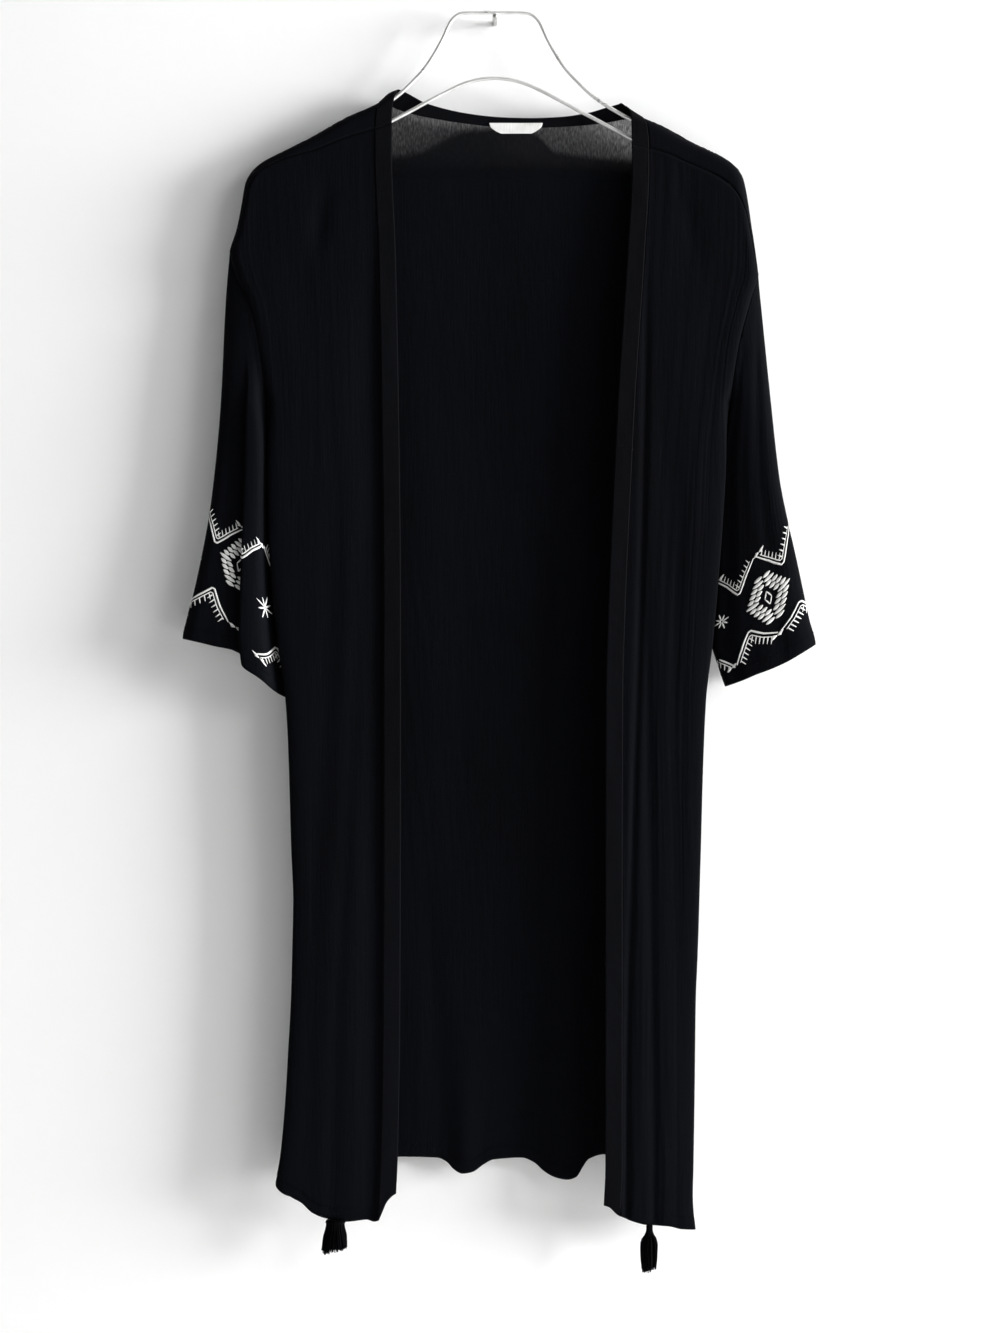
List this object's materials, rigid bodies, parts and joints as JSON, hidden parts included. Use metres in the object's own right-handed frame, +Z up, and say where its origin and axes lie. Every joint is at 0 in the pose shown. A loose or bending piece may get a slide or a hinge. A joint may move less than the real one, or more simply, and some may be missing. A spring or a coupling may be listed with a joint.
{
  "type": "kimono coat on hanger",
  "caption": "Long open-front kimono coat in thin crinkled cloth, with wide three-quarter sleeves and hem tassels, hung on a bent-wire hanger from a wall peg.",
  "frame": {"origin": "centre of the wall peg's back face, which lies on the wall", "axes": "+Z up, +Y into the wall, +X towards the wearer's left, which is the right of a viewer who faces the coat"},
  "size_m": [0.5707, 0.0502, 1.1372],
  "materials": {
    "crepe": "thin black crinkled crepe, slightly see-through",
    "banding": "the same crepe, doubled and pressed",
    "tassel_thread": "black cotton thread",
    "white_satin": "white satin: the bare label, and the embroidery thread",
    "polished_wire": "polished",
    "dull_pin": "dull"
  },
  "bodies": {
    "root": {"back": "crepe", "front_right": "crepe", "front_left": "crepe", "sleeve_right": "crepe", "sleeve_left": "crepe", "band_right": "banding", "band_left": "banding", "neck_band": "banding", "label": "white_satin", "tassel_right": "tassel_thread", "tassel_left": "tassel_thread", "hanger": "polished_wire", "wall_peg": "dull_pin"}
  },
  "joints": []
}
